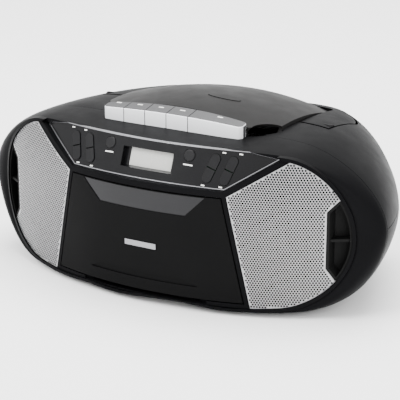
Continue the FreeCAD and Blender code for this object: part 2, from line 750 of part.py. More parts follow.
def make_bottom_cabinet(shell):
    bottom = shell.common(box(-250, 250, PARTING_Y, 200, -10, SPLIT_Z))
    low, high = BATTERY_Z
    half = BATTERY_HALF
    bay = box(-half - 3, half + 3, 58, BACK_Y - WALL / 2, low - 3, high + 3)
    bay = bay.cut(box(-half - 1, half + 1, 60, BACK_Y, low - 1, high + 1))
    posts = []
    for x in (-BOARD_POST_X, BOARD_POST_X):
        for y in (-36.0, 46.0):
            posts.append(rod((x, y, BASE_Z + 1), (0, 0, 1), 3.5, BOARD_Z - BASE_Z - 1))
    pad = box(TRANSFORMER_X[0] + 3, TRANSFORMER_X[1] - 3, -12, 17.3, BASE_Z + 1.4, BASE_Z + WALL + 1.5)
    bottom = bottom.fuse([bay, pad] + posts)
    bottom = bottom.cut(box(-half, half, BACK_Y - 12, BACK_Y + 5, low, high))
    for side in (-1, 1):
        lug = box(side * (half - 8) - 3, side * (half - 8) + 3, BACK_Y - 9, BACK_Y - WALL - 2.6, low - 1, low + 6)
        bottom = bottom.fuse(lug)
    x, z = SOCKET_X, SOCKET_Z
    bottom = bottom.cut(box(x - 11.2, x + 11.2, BACK_Y - 12, BACK_Y + 5, z - 7.2, z + 7.2))
    bottom = bottom.cut(rod((-x, BACK_Y - 12, z), (0, 1, 0), 4.1, 20))
    for x, y in SCREWS:
        bottom = bottom.cut(rod((x, y, BASE_Z - 1), (0, 0, 1), 3.3, 2.4))
        bottom = bottom.cut(rod((x, y, BASE_Z - 1), (0, 0, 1), 1.6, 8))
    return bottom.cut(foot_recess())


def make_battery_door():
    low, high = BATTERY_Z
    half = BATTERY_HALF - 0.7
    plate = box(-half, half, BACK_Y - WALL, BACK_Y, low + 0.7 + WALL / 2, high - 0.7)
    plate = plate.fuse(rod((-half, BACK_Y - WALL / 2, low + 0.7 + WALL / 2), (1, 0, 0), WALL / 2, 2 * half))
    grip = [box(-14, 14, BACK_Y - 1.0, BACK_Y + 1, z, z + 1.2) for z in (high - 6, high - 9, high - 12)]
    return plate.cut(grip[0].fuse(grip[1:]))


def make_screws():
    screws = []
    for x, y in SCREWS:
        head = rod((x, y, BASE_Z + 0.1), (0, 0, 1), 3.0, 1.2)
        head = head.cut(box(x - 2, x + 2, y - 0.4, y + 0.4, BASE_Z - 1, BASE_Z + 0.7))
        screws.append(head.fuse(rod((x, y, BASE_Z + 1.2), (0, 0, 1), 1.5, 12.0)))
    return Part.makeCompound(screws)


def foot_recess():
    places = [rod((x, y, 0), (0, 0, 1), FOOT_R + 0.1, BASE_Z + FOOT_SET) for x, y in FEET]
    return places[0].fuse(places[1:])


def make_feet():
    feet = []
    for x, y in FEET:
        foot = rod((x, y, 0), (0, 0, 1), FOOT_R, BASE_Z + FOOT_SET)
        feet.append(foot.makeFillet(1.0, [edge for edge in foot.Edges if edge.CenterOfMass.z < 0.01]))
    return Part.makeCompound(feet)


# ---------------------------------------------------------------- CD lid and deck

def make_lid():
    lid = lid_prism(0.0, 100, 200).common(lid_dome(0.0, LID_SKIRT))
    lid = lid.cut(lid_prism(-LID_WALL, 90, 210).common(lid_dome(LID_WALL, 60)))
    lid = lid.cut(scoop(0.0)).cut(box(-100, 100, 70, 95, 100, LID_PIVOT_Z - 4.0))
    under = lid_dome(LID_WALL / 2, 60)
    boss = tube((0, DISC_Y, CLAMP_TOP + 0.6), (0, 0, 1), 8.0, 5.0, 40).common(under)
    parts = [boss]
    for side in (-1, 1):
        x = side * LID_PIN_X
        lid = lid.cut(box(x - 11.5, x + 11.5, 75, 90, 100, LID_PIVOT_Z + 3.2))
        knuckle = rod((x - 5, LID_PIVOT_Y, LID_PIVOT_Z), (1, 0, 0), 3.3, 10)
        web = box(x - 5, x + 5, LID_PIVOT_Y - 3.3, LID_PIVOT_Y + 3.0, LID_PIVOT_Z, 170).common(under)
        parts += [knuckle, web]
    lid = lid.fuse(parts)
    for side in (-1, 1):
        lid = lid.cut(lid_pin(side, PIN_FIT))
    oval = rod((0, 0, 100), (0, 0, 1), 1.0, 100)
    size = FreeCAD.Matrix()
    size.scale(BADGE_SIZE[0], BADGE_SIZE[1], 1.0)
    oval = oval.transformGeometry(size)
    oval.translate(Vector(BADGE[0], BADGE[1], 0))
    return lid.fuse(oval.common(lid_dome(-0.5, 1.2)))


def make_clamp():
    puck = rod((0, DISC_Y, CLAMP_TOP - 4.0), (0, 0, 1), 12.0, 4.0)
    puck = puck.fuse(rod((0, DISC_Y, CLAMP_TOP - 1), (0, 0, 1), 4.5, 8.0))
    return puck.cut(rod((0, DISC_Y, CLAMP_TOP - 5), (0, 0, 1), HUB_R + 0.6, 3.2))


def make_deck():
    half = LID_HALF - 2.6
    top = DECK_Z
    deck = box(-half, half, PARTING_Y + 1.0, LID_BACK_Y - 2.0, top - 2, top)
    deck = deck.fuse(rod((0, DISC_Y, WELL_FLOOR - 2), (0, 0, 1), WELL_R + 1.6, top - WELL_FLOOR + 2))
    deck = deck.cut(rod((0, DISC_Y, WELL_FLOOR), (0, 0, 1), WELL_R, 20))
    deck = deck.cut(rod((0, DISC_Y, WELL_FLOOR - 3), (0, 0, 1), 5.0, 4))
    slot_end = SLED_X + 15.0 + SLED_TRAVEL
    deck = deck.cut(box(SLED_X + 5.0, slot_end, DISC_Y - 9, DISC_Y + 9, WELL_FLOOR - 3, WELL_FLOOR + 1))
    parts = []
    for x, high in ((SLED_X - 2.8, WELL_FLOOR - 1), (WELL_R + 9.0, top - 1)):
        parts.append(box(x - 1.2, x + 1.2, DISC_Y - 13, DISC_Y + 13, WELL_FLOOR - 17, high))
    for side in (-1, 1):
        x = side * (KEY_END + 3.5)
        parts.append(box(x - 1.5, x + 1.5, KEY_SHAFT_Y - 3, KEY_SHAFT_Y + 3, top - 1, KEY_SHAFT_Z + 3))
        for inner in (-8.5, 8.5):
            x = side * LID_PIN_X + inner
            parts.append(box(x - 1.75, x + 1.75, LID_PIVOT_Y - 2.7, LID_PIVOT_Y + 2.7, top - 1, LID_PIVOT_Z))
            parts.append(rod((x - 1.75, LID_PIVOT_Y, LID_PIVOT_Z), (1, 0, 0), 2.9, 3.5))
    deck = deck.fuse(parts)
    for y in ROD_Y:
        deck = deck.cut(rod((SLED_X - 6, DISC_Y + y, ROD_Z), (1, 0, 0), ROD_R, 80))
    for side in (-1, 1):
        deck = deck.cut(lid_pin(side, 0.0))
    return deck.cut(rod((-100, KEY_SHAFT_Y, KEY_SHAFT_Z), (1, 0, 0), KEY_SHAFT_R, 200))


def make_spindle_motor():
    body = rod((0, DISC_Y, WELL_FLOOR - 16), (0, 0, 1), 10.5, 14)
    return body.fuse(rod((0, DISC_Y, WELL_FLOOR - 3), (0, 0, 1), SHAFT_R, 5.4))


def make_turntable():
    table = rod((0, DISC_Y, WELL_FLOOR + 0.6), (0, 0, 1), 14.0, 1.4)
    hub = rod((0, DISC_Y, WELL_FLOOR + 1.6), (0, 0, 1), HUB_R, 1.9)
    hub = hub.fuse(Part.makeCone(HUB_R, HUB_R - 0.8, 1.5, Vector(0, DISC_Y, WELL_FLOOR + 3.5), Vector(0, 0, 1)))
    skirt = rod((0, DISC_Y, WELL_FLOOR - 1.6), (0, 0, 1), 4.0, 3.0)
    table = table.fuse([hub, skirt])
    return table.cut(rod((0, DISC_Y, WELL_FLOOR - 4), (0, 0, 1), SHAFT_R + RUN_FIT, 6.8))


def make_sled():
    sled = box(SLED_X, SLED_X + 20, DISC_Y - 11, DISC_Y + 11, WELL_FLOOR - 14, WELL_FLOOR - 2.8)
    sled = sled.fuse(box(SLED_X + 6, SLED_X + 14, DISC_Y - 7, DISC_Y + 7, WELL_FLOOR - 4, WELL_FLOOR + 0.4))
    lens = rod((SLED_X + 10, DISC_Y, WELL_FLOOR), (0, 0, 1), 3.5, 1.2)
    sled = sled.fuse(lens)
    for y in ROD_Y:
        sled = sled.cut(rod((SLED_X - 6, DISC_Y + y, ROD_Z), (1, 0, 0), ROD_R + RUN_FIT, 40))
    return sled


def make_rods():
    return Part.makeCompound([rod((SLED_X - 4, DISC_Y + y, ROD_Z), (1, 0, 0), ROD_R, WELL_R - SLED_X + 14.2)
                              for y in ROD_Y])


# ---------------------------------------------------------------- cassette keys

def make_key(number):
    left = -KEY_END + number * KEY_PITCH
    right = left + KEY_PITCH if number < 4 else KEY_END
    x0 = left + (KEY_GAP / 2 if number else 0)
    x1 = right - (KEY_GAP / 2 if number < 4 else 0)
    slope = (KEY_TOP_BACK - KEY_TOP_FRONT) / KEY_DEPTH
    axis_z = KEY_TOP_FRONT - slope * 30 - KEY_CROWN * math.sqrt(1 + slope ** 2)
    crown = rod((0, KEY_FRONT_Y - 30, axis_z), (0, 1, slope), KEY_CROWN, 400)
    cap = key_row(0.0, KEY_BASE, 180).common(crown)
    rim = [edge for edge in cap.Edges if min(v.Z for v in edge.Vertexes) > KEY_BASE + 5]
    cap = cap.makeFillet(0.8, rim)
    cap = cap.common(box(x0, x1, -100, 0, 100, 200))
    middle = (x0 + x1) / 2
    rib = box(middle - 4, middle + 4, KEY_FRONT_Y + 5, KEY_FRONT_Y + KEY_DEPTH - 6.5, KEY_SHAFT_Z, KEY_BASE + 2)
    lever = box(middle - 4, middle + 4, KEY_FRONT_Y + 5, KEY_SHAFT_Y, KEY_SHAFT_Z, KEY_SHAFT_Z + 3.8)
    hub = rod((middle - 6, KEY_SHAFT_Y, KEY_SHAFT_Z), (1, 0, 0), 3.8, 12)
    key = cap.fuse([rib, lever, hub])
    return key.cut(rod((-100, KEY_SHAFT_Y, KEY_SHAFT_Z), (1, 0, 0), KEY_SHAFT_R + RUN_FIT, 200))


# ---------------------------------------------------------------- cassette door and mechanism

def make_door():
    door = face_slab(0.0, DOOR_THICK).common(prism_y(DOOR, -140, -60))
    door = door.cut(prism_y(grown(WINDOW, 0.3), -140, -60).common(face_slab(-2.0, 4.0)))
    door = door.cut(prism_y(grown(WINDOW, -3.0), -140, -60))
    low, high = LEDGE_Z
    ledge = prism_y(both_sides([(LEDGE_HALF + 12, low), (LEDGE_HALF, high)]), -140, -60)
    door = door.cut(ledge.common(face_slab(-2.0, 3.2)))
    for side in (-1, 1):
        x = side * (DOOR_PIN_X - 9)
        ear = box(x - 4, x + 4, FRONT_Y + 2.5, DOOR_PIVOT_Y + 3, DOOR_PIVOT_Z - 2.8, DOOR_PIVOT_Z + 3)
        door = door.fuse(ear)
    for side in (-1, 1):
        door = door.cut(door_pin(side, PIN_FIT))
    return door


def make_window():
    return face_slab(0.6, 1.3).common(prism_y(WINDOW, -140, -60))


def make_holder():
    width, height, thick = CASSETTE
    half = width / 2 + 0.8
    back = FRONT_Y + DOOR_THICK + 1.2 + thick + 1.0
    front = FRONT_Y + 1.2
    z0 = HOLDER_BOTTOM
    holder = box(-half - 1.6, half + 1.6, front, back, z0 - 1.6, z0 + height - 8)
    holder = holder.cut(box(-half, half, front - 1, back + 1, z0, z0 + height))
    lips = [box(side * half - 4, side * half + 4, back - 1.4, back, z0 - 1.6, z0 + height - 8) for side in (-1, 1)]
    holder = holder.fuse(lips)
    keep = curved_slab(face_y, 192.0, -2.0, 152.0, DOOR_THICK, 60.0)
    return holder.common(keep)


def make_chassis():
    top = CHASSIS_TOP
    chassis = box(-CHASSIS_HALF, CHASSIS_HALF, CHASSIS_Y - 1.6, CHASSIS_Y, 18, top)
    for x in (-REEL_X, REEL_X):
        chassis = chassis.cut(rod((x, CHASSIS_Y - 5, REEL_Z), (0, 1, 0), 1.5 + RUN_FIT, 10))
    chassis = chassis.cut(rod((CAPSTAN[0], CHASSIS_Y - 5, CAPSTAN[1]), (0, 1, 0), SHAFT_R + RUN_FIT, 10))
    motor_hole = rod((MOTOR[0], CHASSIS_Y - 5, MOTOR[1]), (0, 1, 0), 8.0, 10)
    return chassis.cut(motor_hole)


def make_reel(x):
    reel = rod((x, CHASSIS_Y - 5.0, REEL_Z), (0, 1, 0), 7.0, 3.0)
    reel = reel.fuse([rod((x, CHASSIS_Y - 17.0, REEL_Z), (0, 1, 0), 3.2, 13.0),
                      rod((x, CHASSIS_Y - 4, REEL_Z), (0, 1, 0), 1.5, 6.5)])
    for turn in range(3):
        angle = math.radians(90 + turn * 120)
        fin = box(-0.6, 0.6, CHASSIS_Y - 16.0, CHASSIS_Y - 10.0, 2.5, 4.4)
        fin.rotate(Vector(0, 0, 0), Vector(0, 1, 0), math.degrees(angle))
        fin.translate(Vector(x, 0, REEL_Z))
        reel = reel.fuse(fin)
    return reel


def make_flywheel():
    x, z = CAPSTAN
    wheel = rod((x, CHASSIS_Y + 2.0, z), (0, 1, 0), FLYWHEEL_R, 6.0)
    wheel = wheel.cut(tube((x, CHASSIS_Y + 6.0, z), (0, 1, 0), FLYWHEEL_R - 4, 6.0, 3.0))
    groove = tube((x, CHASSIS_Y + 4.2, z), (0, 1, 0), FLYWHEEL_R + 1, FLYWHEEL_R - BELT - 0.3, 2.2)
    return wheel.cut(groove).fuse(rod((x, CHASSIS_Y - 18, z), (0, 1, 0), SHAFT_R, 21))


def make_pulley():
    x, z = MOTOR
    pulley = rod((x, CHASSIS_Y + 2.6, z), (0, 1, 0), PULLEY_R + 1.6, 5.4)
    groove = tube((x, CHASSIS_Y + 4.2, z), (0, 1, 0), PULLEY_R + 3, PULLEY_R - 0.3, 2.2)
    return pulley.cut(groove).cut(rod((x, CHASSIS_Y, z), (0, 1, 0), SHAFT_R + RUN_FIT, 20))


def make_motor():
    x, z = MOTOR
    body = rod((x, CHASSIS_Y + 9.0, z), (0, 1, 0), 16.0, 24.0)
    strap = box(x - 3, x + 3, CHASSIS_Y + 9.0, CHASSIS_Y + 11.0, z - 30, z)
    foot = box(x - 3, x + 3, CHASSIS_Y, CHASSIS_Y + 11.0, z - 30, z - 27)
    return body.fuse([strap, foot, rod((x, CHASSIS_Y + 3.4, z), (0, 1, 0), SHAFT_R, 6)])


def belt_loop(radius_a, radius_b, y0, y1):
    """Outline of an open belt round the motor pulley and the flywheel, made into a bar along Y."""
    ax, az = MOTOR
    bx, bz = CAPSTAN
    length = math.dist(MOTOR, CAPSTAN)
    heading = math.atan2(bz - az, bx - ax)
    lean = math.acos((radius_a - radius_b) / length)

    def spot(cx, cz, radius, angle):
        return Vector(cx + radius * math.cos(angle), y0, cz + radius * math.sin(angle))
    a_up, a_low = spot(ax, az, radius_a, heading + lean), spot(ax, az, radius_a, heading - lean)
    b_up, b_low = spot(bx, bz, radius_b, heading + lean), spot(bx, bz, radius_b, heading - lean)
    edges = [Part.makeLine(a_up, b_up),
             Part.Arc(b_up, spot(bx, bz, radius_b, heading), b_low).toShape(),
             Part.makeLine(b_low, a_low),
             Part.Arc(a_low, spot(ax, az, radius_a, heading + math.pi), a_up).toShape()]
    return Part.Face(Part.Wire(edges)).extrude(Vector(0, y1 - y0, 0))


def make_belt():
    y0 = CHASSIS_Y + 4.5
    y1 = y0 + 1.6
    outer = belt_loop(PULLEY_R + BELT, FLYWHEEL_R, y0, y1)
    return outer.cut(belt_loop(PULLEY_R, FLYWHEEL_R - BELT, y0 - 1, y1 + 1))


def make_pinch_roller():
    x, z = CAPSTAN
    z = z + SHAFT_R + PINCH_R + HEAD_TRAVEL + 0.3
    roller = tube((x, CHASSIS_Y - 15, z), (0, 1, 0), PINCH_R, SHAFT_R + RUN_FIT, 7.0)
    return roller


def make_head_bridge():
    z = CAPSTAN[1] + SHAFT_R + PINCH_R + HEAD_TRAVEL + 0.3
    bridge = box(-34, CAPSTAN[0] + 8, CHASSIS_Y - 4.4, CHASSIS_Y - 2.4, z - 5, z + 5)
    head = box(-6.5, 6.5, CHASSIS_Y - 15, CHASSIS_Y - 4, z - 7.0, z + 4)
    erase = box(-27, -19, CHASSIS_Y - 14, CHASSIS_Y - 4, z - 6.0, z + 3)
    pin = rod((CAPSTAN[0], CHASSIS_Y - 16, z), (0, 1, 0), SHAFT_R, 13)
    return bridge.fuse([head, erase, pin])


# ---------------------------------------------------------------- speakers, boards and rear fittings

def speaker_place(side):
    turn = math.degrees(math.asin(SPEAKER_X / FRONT_RADIUS))
    x = side * SPEAKER_X
    back = PLATE_SET + PLATE + SPEAKER_BACK
    return FreeCAD.Placement(Vector(x, face_y(x, SPEAKER_Z) + back, SPEAKER_Z),
                             FreeCAD.Rotation(Vector(0, 0, 1), side * turn))


def make_speaker_frame(side):
    """Pressed basket and magnet, axis along local Y."""
    ring = tube((0, 0, 0), (0, 1, 0), SPEAKER_R, SPEAKER_R - 7, 2.0)
    outer = Part.makeCone(SPEAKER_R - 5, 17, 22, Vector(0, 2, 0), Vector(0, 1, 0))
    inner = Part.makeCone(SPEAKER_R - 6.2, 15.8, 22, Vector(0, 1.9, 0), Vector(0, 1, 0))
    basket = outer.cut(inner)
    magnet = rod((0, 23.5, 0), (0, 1, 0), 24, 12)
    pole = rod((0, 18, 0), (0, 1, 0), 8, 8)
    return placed(ring.fuse([basket, magnet, pole]), speaker_place(side))


def make_speaker_cone(side):
    outer = Part.makeCone(SPEAKER_R - 8, 13, 15, Vector(0, 1.0, 0), Vector(0, 1, 0))
    inner = Part.makeCone(SPEAKER_R - 8.8, 12.2, 15, Vector(0, 0.9, 0), Vector(0, 1, 0))
    cap = Part.makeSphere(16.0, Vector(0, 24.0, 0)).common(box(-20, 20, 5, 15.5, -20, 20))
    cone = outer.cut(inner).fuse(cap)
    return placed(cone, speaker_place(side))


def make_main_board():
    half = BOARD_POST_X + 6
    board = box(-half, half, -44, 54, BOARD_Z, BOARD_Z + 1.6)
    parts = [box(-60, -32, -20, 8, BOARD_Z + 1, BOARD_Z + 12), box(10, 26, -30, -14, BOARD_Z + 1, BOARD_Z + 4)]
    for x in (-10, 40, 60):
        parts.append(rod((x, 30, BOARD_Z + 1), (0, 0, 1), 5.0, 15))
    return board.fuse(parts)


def make_transformer():
    x0, x1 = TRANSFORMER_X
    core = box(x0, x1, -14, 20, BASE_Z + WALL + 1.5, 40)
    coil = box(x0 + 5, x1 - 5, -20, 26, BASE_Z + WALL + 6, 34)
    return core.fuse(coil)


def make_ac_inlet():
    x, z = SOCKET_X, SOCKET_Z
    body = box(x - 11, x + 11, BACK_Y - 20, BACK_Y - 0.4, z - 7, z + 7)
    for offset in (-4.4, 4.4):
        body = body.cut(rod((x + offset, BACK_Y - 14, z), (0, 1, 0), 3.4, 20))
    for offset in (-4.4, 4.4):
        body = body.fuse(rod((x + offset, BACK_Y - 16, z), (0, 1, 0), 1.2, 12))
    return body


def make_jack():
    x, z = -SOCKET_X, SOCKET_Z
    body = box(x - 6, x + 6, BACK_Y - 18, BACK_Y - WALL - 0.2, z - 6, z + 6)
    body = body.fuse(rod((x, BACK_Y - 5, z), (0, 1, 0), 3.9, 5.6))
    return body.cut(rod((x, BACK_Y - 15, z), (0, 1, 0), JACK_R + 0.05, 20))


def make_swivel():
    x, z = ANTENNA_X, ANTENNA_Z
    swivel = rod((x, BACK_Y - 8, z), (0, 1, 0), 3.1, 9)
    swivel = swivel.fuse([rod((x, BACK_Y + 0.4, z), (0, 1, 0), 7.0, 3.0), rod((x, BACK_Y - 8, z), (0, 1, 0), 6, 3)])
    for side in (-1, 1):
        z0, z1 = sorted((z + side * 3.4, z + side * 5.4))
        cheek = box(x - 4, x + 4, BACK_Y + 2, ANTENNA_Y + 3.5, z0, z1)
        swivel = swivel.fuse(cheek)
    return swivel.cut(rod((x, ANTENNA_Y, z - 20), (0, 0, 1), 1.2 + RUN_FIT, 40))


def make_antenna_rods():
    """Outer rod with its elbow pin, middle rod and tip rod, folded along -X."""
    x, z = ANTENNA_X, ANTENNA_Z
    end = x - ANTENNA_LENGTH
    root = rod((x, ANTENNA_Y, z - 3.1), (0, 0, 1), 3.8, 6.2).fuse(rod((x, ANTENNA_Y, z - 5.3), (0, 0, 1), 1.2, 10.6))
    outer = root.fuse(rod((x, ANTENNA_Y, z), (-1, 0, 0), ANTENNA_R, ANTENNA_LENGTH))
    outer = outer.cut(rod((x - 8, ANTENNA_Y, z), (-1, 0, 0), ANTENNA_R - 0.9, ANTENNA_LENGTH))
    middle = rod((x - 10, ANTENNA_Y, z), (-1, 0, 0), ANTENNA_R - 0.95, ANTENNA_LENGTH - 9)
    middle = middle.cut(rod((x - 12, ANTENNA_Y, z), (-1, 0, 0), ANTENNA_R - 1.75, ANTENNA_LENGTH))
    inner = rod((x - 14, ANTENNA_Y, z), (-1, 0, 0), ANTENNA_R - 1.8, ANTENNA_LENGTH - 12)
    tip = rod((end - 1.5, ANTENNA_Y, z), (-1, 0, 0), ANTENNA_R, 7.0)
    return outer, middle, inner.fuse(tip)


def main():
    os.makedirs("parts", exist_ok=True)
    shell = rear_solid(0.0).cut(rear_solid(WALL, 5.0))
    shell = shell.cut(groove_ring(PARTING_Y - 1.0, PARTING_Y + GROOVE))
    split_line = groove_ring(PARTING_Y - 1.0, BACK_Y + 2.0)
    split_line = split_line.common(box(-250, 250, -60, 200, SPLIT_Z, SPLIT_Z + GROOVE))
    shell = shell.cut(split_line)
    save("front_cabinet", make_front_cabinet())
    save("top_cabinet", make_top_cabinet(shell))
    save("bottom_cabinet", make_bottom_cabinet(shell))
    save("battery_door", make_battery_door())
    save("control_panel", make_control_panel())
    save("panel_trim", make_panel_trim())
    save("display_module", make_display())
    save("button_board", make_button_board())
    save("round_button_left", round_button(-1))
    save("round_button_right", round_button(1))
    for number, place in enumerate(slot_places(), start=1):
        save("slot_%d_upper_button" % number, slot_button(place, True))
        save("slot_%d_lower_button" % number, slot_button(place, False))
    save("left_grille", make_grille(-1))
    save("right_grille", make_grille(1))
    port = make_side_port()
    save("side_ports", Part.makeCompound([port, mirrored(port)]))
    save("cassette_door", make_door())
    save("door_window", make_window())
    save("cassette_holder", make_holder())
    for number, name in enumerate(KEYS):
        save(name, make_key(number))
    save("key_shaft", rod((-KEY_END - 5, KEY_SHAFT_Y, KEY_SHAFT_Z), (1, 0, 0), KEY_SHAFT_R, 2 * KEY_END + 10))
    save("cassette_chassis", make_chassis())
    save("flywheel", make_flywheel())
    save("cassette_motor", make_motor())
    save("motor_pulley", make_pulley())
    save("drive_belt", make_belt())
    save("supply_reel", make_reel(-REEL_X))
    save("takeup_reel", make_reel(REEL_X))
    save("pinch_roller", make_pinch_roller())
    save("head_bridge", make_head_bridge())
    save("cd_lid", make_lid())
    save("cd_clamp", make_clamp())
    save("cd_deck", make_deck())
    save("spindle_motor", make_spindle_motor())
    save("turntable", make_turntable())
    save("laser_sled", make_sled())
    save("sled_rods", make_rods())
    save("handle", make_handle())
    pins = [pin(side, 0.0) for pin in (handle_pin, lid_pin, door_pin) for side in (-1, 1)]
    save("hinge_pins", Part.makeCompound(pins))
    save("antenna_swivel", make_swivel())
    for name, piece in zip(("antenna_outer_rod", "antenna_middle_rod", "antenna_tip_rod"), make_antenna_rods()):
        save(name, piece)
    save("speaker_frames", Part.makeCompound([make_speaker_frame(side) for side in (-1, 1)]))
    save("speaker_cones", Part.makeCompound([make_speaker_cone(side) for side in (-1, 1)]))
    save("main_board", make_main_board())
    save("transformer", make_transformer())
    save("ac_inlet", make_ac_inlet())
    save("headphone_jack", make_jack())
    save("feet", make_feet())
    save("screws", make_screws())


if __name__ == "__main__":
    main()
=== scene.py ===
import math

import bmesh
import bpy
from mathutils import Matrix, Vector


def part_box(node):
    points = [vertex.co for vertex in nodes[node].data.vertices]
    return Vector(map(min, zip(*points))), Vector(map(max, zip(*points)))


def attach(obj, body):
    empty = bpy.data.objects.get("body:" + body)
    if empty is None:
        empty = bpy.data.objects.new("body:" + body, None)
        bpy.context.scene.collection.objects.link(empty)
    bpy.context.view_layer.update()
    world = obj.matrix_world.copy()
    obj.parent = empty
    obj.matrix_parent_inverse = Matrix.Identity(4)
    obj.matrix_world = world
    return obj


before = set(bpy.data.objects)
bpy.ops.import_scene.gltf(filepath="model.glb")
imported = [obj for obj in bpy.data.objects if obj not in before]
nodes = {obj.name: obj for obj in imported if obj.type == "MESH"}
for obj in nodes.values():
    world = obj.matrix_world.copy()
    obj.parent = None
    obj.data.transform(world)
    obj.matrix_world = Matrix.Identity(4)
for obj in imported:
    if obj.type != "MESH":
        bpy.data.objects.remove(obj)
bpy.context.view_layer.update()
print("frame loaded:", len(nodes), "nodes")


# small helpers for node trees
def newMaterial(name):
    mat = bpy.data.materials.new(name)
    mat.use_nodes = True
    tree = mat.node_tree
    shader = next(n for n in tree.nodes if n.type == "BSDF_PRINCIPLED")
    coords = tree.nodes.new("ShaderNodeTexCoord")
    return mat, tree, shader, coords.outputs["Object"]


def noiseNode(tree, vector, scale, detail=3.0, rough=0.55):
    noise = tree.nodes.new("ShaderNodeTexNoise")
    noise.inputs["Scale"].default_value = scale
    noise.inputs["Detail"].default_value = detail
    noise.inputs["Roughness"].default_value = rough
    tree.links.new(vector, noise.inputs["Vector"])
    return noise.outputs["Fac"]


def rampNode(tree, value, low, high, start=0.3, end=0.7):
    ramp = tree.nodes.new("ShaderNodeValToRGB")
    ramp.color_ramp.elements[0].position = start
    ramp.color_ramp.elements[1].position = end
    ramp.color_ramp.elements[0].color = (*low, 1)
    ramp.color_ramp.elements[1].color = (*high, 1)
    tree.links.new(value, ramp.inputs["Fac"])
    return ramp.outputs["Color"]


def rangeNode(tree, value, low, high, start=0.3, end=0.7):
    mapRange = tree.nodes.new("ShaderNodeMapRange")
    mapRange.inputs["From Min"].default_value = start
    mapRange.inputs["From Max"].default_value = end
    mapRange.inputs["To Min"].default_value = low
    mapRange.inputs["To Max"].default_value = high
    tree.links.new(value, mapRange.inputs["Value"])
    return mapRange.outputs["Result"]


def bumpNode(tree, shader, height, strength, distance):
    bump = tree.nodes.new("ShaderNodeBump")
    bump.inputs["Strength"].default_value = strength
    bump.inputs["Distance"].default_value = distance
    tree.links.new(height, bump.inputs["Height"])
    tree.links.new(bump.outputs["Normal"], shader.inputs["Normal"])


def stretched(tree, vector, scale):
    mapping = tree.nodes.new("ShaderNodeMapping")
    mapping.inputs["Scale"].default_value = scale
    tree.links.new(vector, mapping.inputs["Vector"])
    return mapping.outputs["Vector"]


# moulded plastic: fine spark texture, slow colour drift and handling marks in the roughness
def mouldedPlastic(name, dark, light, roughLow, roughHigh, grain=2600.0, grainDepth=0.00004, sheen=0.05):
    mat, tree, shader, pos = newMaterial(name)
    drift = noiseNode(tree, pos, 9.0, 2.0)
    tree.links.new(rampNode(tree, drift, dark, light), shader.inputs["Base Color"])
    marks = noiseNode(tree, pos, 38.0, 4.0)
    tree.links.new(rangeNode(tree, marks, roughLow, roughHigh), shader.inputs["Roughness"])
    bumpNode(tree, shader, noiseNode(tree, pos, grain, 1.0), 0.35, grainDepth)
    shader.inputs["Specular IOR Level"].default_value = sheen
    return mat


# brushed or plated metal, streaks along one axis
def streakedMetal(name, dark, light, roughLow, roughHigh, streak=(40.0, 900.0, 900.0)):
    mat, tree, shader, pos = newMaterial(name)
    lines = noiseNode(tree, stretched(tree, pos, streak), 1.0, 3.0)
    tree.links.new(rampNode(tree, lines, dark, light), shader.inputs["Base Color"])
    tree.links.new(rangeNode(tree, lines, roughLow, roughHigh), shader.inputs["Roughness"])
    bumpNode(tree, shader, lines, 0.2, 0.00002)
    shader.inputs["Metallic"].default_value = 1.0
    return mat


def glossPlastic(name, dark, light, rough, coat=0.6):
    mat, tree, shader, pos = newMaterial(name)
    tree.links.new(rampNode(tree, noiseNode(tree, pos, 14.0), dark, light), shader.inputs["Base Color"])
    tree.links.new(rangeNode(tree, noiseNode(tree, pos, 60.0, 5.0), rough, rough + 0.07), shader.inputs["Roughness"])
    bumpNode(tree, shader, noiseNode(tree, pos, 130.0, 1.0), 0.05, 0.00006)
    shader.inputs["Specular IOR Level"].default_value = 0.18
    shader.inputs["Coat Weight"].default_value = coat
    shader.inputs["Coat Roughness"].default_value = 0.04
    return mat


